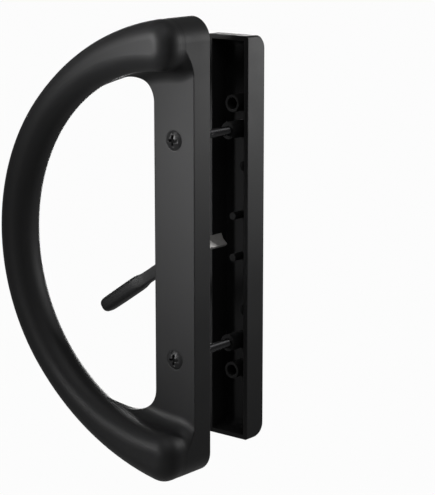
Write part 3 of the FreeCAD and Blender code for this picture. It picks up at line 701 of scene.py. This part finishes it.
class DOORHANDLE_OT_make_mounting_screws(bpy.types.Operator):
    """Make the two long mounting screws with their threads"""

    bl_idname = "door_handle.make_mounting_screws"
    bl_label = "Make Mounting Screws"

    def execute(self, context):
        sizes = settings().screws
        low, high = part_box("mounting_screws")
        spacing, crest = shank_place(low, high)
        thread_start = low.y + HEAD_LENGTH + sizes.plain_shank
        bm = cut_node("mounting_screws", Vector((0.0, thread_start, 0.0)), Vector((0.0, 1.0, 0.0)))
        for centre_z in (spacing / 2.0, -spacing / 2.0):
            add_mesh(bm, threaded_shank(centre_z, thread_start, high.y, crest, sizes.thread_depth,
                                        sizes.thread_pitch, sizes.steps))
        material = black_oxide("Black Screws", sizes.colour, sizes.thread_colour, thread_start, spacing,
                               crown=low.y)
        piece = new_piece("threaded_mounting_screws", bm, material, "handle")
        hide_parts("mounting_screws")
        return {"FINISHED"}


class DOORHANDLE_OT_finish_tailpiece(bpy.types.Operator):
    """Give the tailpiece its rolled steel"""

    bl_idname = "door_handle.finish_tailpiece"
    bl_label = "Finish Tailpiece"

    def execute(self, context):
        material = bare_steel("Rolled Steel Blade", settings().steel.blade_colour, dull=0.7, roughness=0.48,
                              streak_strength=0.6)
        finish_node("tailpiece", material)
        return {"FINISHED"}


class DOORHANDLE_OT_finish_retainer(bpy.types.Operator):
    """Give the hub retainer, its screws and the spring washer their steel"""

    bl_idname = "door_handle.finish_retainer"
    bl_label = "Finish Retainer"

    def execute(self, context):
        steel = settings().steel
        plate = bare_steel("Zinc Plate", steel.plated_colour, dull=0.85, roughness=0.40, streak_strength=0.2)
        for node in ("hub_retainer", "retainer_screws"):
            finish_node(node, plate)
        spring = bare_steel("Oiled Spring Steel", steel.spring_colour, dull=0.7, roughness=0.3,
                            streak_strength=0.3)
        finish_node("spring_washer", spring)
        return {"FINISHED"}


# Lamps: name, place and target in metres, width and height in metres, watts, spread in degrees
SOFT_BOXES = (
    ("left_front_box", (-0.20, -0.38, 0.11), (0.05, -0.02, 0.03), (0.06, 0.20), 0.176, 34.0),
    ("right_back_box", (0.160, 0.215, 0.092), (0.020, 0.030, 0.028), (0.04, 0.12), 0.074, 60.0),
    ("back_left_box", (-0.42, 0.52, 0.02), (0.0, 0.0, 0.0), (0.35, 0.35), 2.0, 120.0),
    ("top_box", (0.28, -0.20, 0.70), (0.0, 0.0, 0.0), (0.60, 0.60), 1.8, 180.0),
)
WHITE = (1.0, 1.0, 1.0, 1.0)

# Floor: half its width in metres, its paint, and the share of the white backdrop that hides its shading
FLOOR_REACH = 20.0
FLOOR_COLOUR = (0.80, 0.80, 0.80, 1.0)
FLOOR_ROUGHNESS = 0.9
FLOOR_GLOW = 0.97

# Width of the camera's sensor in millimetres, and the tilt at which it looks level
SENSOR_WIDTH = 36.0
LEVEL = math.radians(90.0)


def soft_box(name, place, target, size, power, spread):
    """A rectangular lamp at a place, turned to a target and out of the camera's sight."""
    lamp = bpy.data.lights.new(name, "AREA")
    lamp.spread = math.radians(spread)
    lamp.shape = "RECTANGLE"
    lamp.size, lamp.size_y = size
    lamp.energy = power
    box = bpy.data.objects.new(name, lamp)
    box.visible_camera = False
    bpy.context.scene.collection.objects.link(box)
    box.location = place
    box.rotation_euler = (Vector(target) - Vector(place)).to_track_quat("-Z", "Y").to_euler()


def backdrop_share(w):
    """How much of the white backdrop a ray sees: all of it, or a share where a surface reflects it."""
    path = w.node("ShaderNodeLightPath")
    seen = w.math("MAXIMUM", path.outputs["Is Camera Ray"], path.outputs["Is Transmission Ray"])
    mirrored = w.math("MULTIPLY", path.outputs["Is Glossy Ray"], settings().stage.reflected_backdrop)
    return w.math("MAXIMUM", seen, mirrored)


def white_world():
    """Surroundings that show white and light the part evenly from all round."""
    world = bpy.data.worlds.new("Studio")
    world.use_nodes = True
    world.node_tree.nodes.clear()
    w = Wiring(world.node_tree)
    out = w.node("ShaderNodeOutputWorld")
    choice = w.node("ShaderNodeMixShader")
    w.join(backdrop_share(w), choice.inputs["Fac"])
    for socket, strength in ((choice.inputs[1], settings().stage.world_fill), (choice.inputs[2], 1.0)):
        light = w.node("ShaderNodeBackground")
        light.inputs["Color"].default_value = WHITE
        light.inputs["Strength"].default_value = strength
        w.join(light.outputs["Background"], socket)
    w.join(choice.outputs["Shader"], out.inputs["Surface"])
    bpy.context.scene.world = world


def pale_floor(height):
    """A wide pale sheet that shows white and still takes a soft shadow."""
    bm = bmesh.new()
    bmesh.ops.create_grid(bm, x_segments=8, y_segments=8, size=FLOOR_REACH)
    mesh = bpy.data.meshes.new("studio_floor")
    bm.to_mesh(mesh)
    bm.free()
    floor = bpy.data.objects.new("studio_floor", mesh)
    floor.location.z = height
    bpy.context.scene.collection.objects.link(floor)
    material, w, shader = new_material("Studio Floor")
    shader.inputs["Base Color"].default_value = FLOOR_COLOUR
    shader.inputs["Roughness"].default_value = FLOOR_ROUGHNESS
    glow = w.node("ShaderNodeEmission")
    choice = w.node("ShaderNodeMixShader")
    w.join(w.math("MULTIPLY", backdrop_share(w), FLOOR_GLOW), choice.inputs["Fac"])
    w.join(shader.outputs["BSDF"], choice.inputs[1])
    w.join(glow.outputs["Emission"], choice.inputs[2])
    surface = next(n for n in w.tree.nodes if n.type == "OUTPUT_MATERIAL")
    w.join(choice.outputs["Shader"], surface.inputs["Surface"])
    mesh.materials.append(material)


class DOORHANDLE_OT_set_stage(bpy.types.Operator):
    """Set the floor, the white surroundings, the soft boxes and the camera"""

    bl_idname = "door_handle.set_stage"
    bl_label = "Set Stage"

    def execute(self, context):
        stage = settings().stage
        scene = context.scene
        pale_floor(CAD_BOX[0].z - stage.floor_drop)
        white_world()
        for box in SOFT_BOXES:
            soft_box(*box)
        lens = bpy.data.cameras.new("photo_camera")
        lens.sensor_width = SENSOR_WIDTH
        lens.lens = stage.camera_lens
        camera = bpy.data.objects.new("photo_camera", lens)
        camera.location = stage.camera_place
        camera.rotation_euler = Euler((LEVEL - stage.camera_tilt, 0.0, stage.camera_pan))
        scene.collection.objects.link(camera)
        scene.camera = camera
        scene.view_settings.view_transform = "Standard"
        return {"FINISHED"}


class DoorHandleSettings(bpy.types.PropertyGroup):
    """All the settings of the handle set."""

    paint: PointerProperty(type=HandlePaintSettings, name="Paint", description="Black paint")
    screws: PointerProperty(type=HandleScrewSettings, name="Screws", description="Mounting screws")
    steel: PointerProperty(type=HandleSteelSettings, name="Steel", description="Bare and plated steel")
    stage: PointerProperty(type=HandleStageSettings, name="Stage", description="Camera, light and floor")


OPERATORS = (
    DOORHANDLE_OT_paint_castings,
    DOORHANDLE_OT_make_lever,
    DOORHANDLE_OT_make_mounting_screws,
    DOORHANDLE_OT_finish_tailpiece,
    DOORHANDLE_OT_finish_retainer,
    DOORHANDLE_OT_set_stage,
)


class VIEW3D_PT_door_handle(bpy.types.Panel):
    """The steps that finish the handle set, in order"""

    bl_label = "Door Handle"
    bl_idname = "VIEW3D_PT_door_handle"
    bl_space_type = "VIEW_3D"
    bl_region_type = "UI"
    bl_category = "Door Handle"

    def draw(self, context):
        """List the steps as buttons."""
        for step in OPERATORS:
            self.layout.operator(step.bl_idname)


CLASSES = (
    HandlePaintSettings,
    HandleScrewSettings,
    HandleSteelSettings,
    HandleStageSettings,
    DoorHandleSettings,
    *OPERATORS,
    VIEW3D_PT_door_handle,
)


def register():
    """Make the settings, the steps and the panel known to Blender."""
    for kind in CLASSES:
        bpy.utils.register_class(kind)
    bpy.types.Scene.door_handle = PointerProperty(type=DoorHandleSettings)


def unregister():
    """Take the settings, the steps and the panel out again."""
    del bpy.types.Scene.door_handle
    for kind in reversed(CLASSES):
        bpy.utils.unregister_class(kind)


def main():
    """Run every step in order."""
    register()
    bpy.ops.door_handle.paint_castings()
    bpy.ops.door_handle.make_lever()
    bpy.ops.door_handle.make_mounting_screws()
    bpy.ops.door_handle.finish_tailpiece()
    bpy.ops.door_handle.finish_retainer()
    bpy.ops.door_handle.set_stage()


if __name__ == "__main__":
    main()
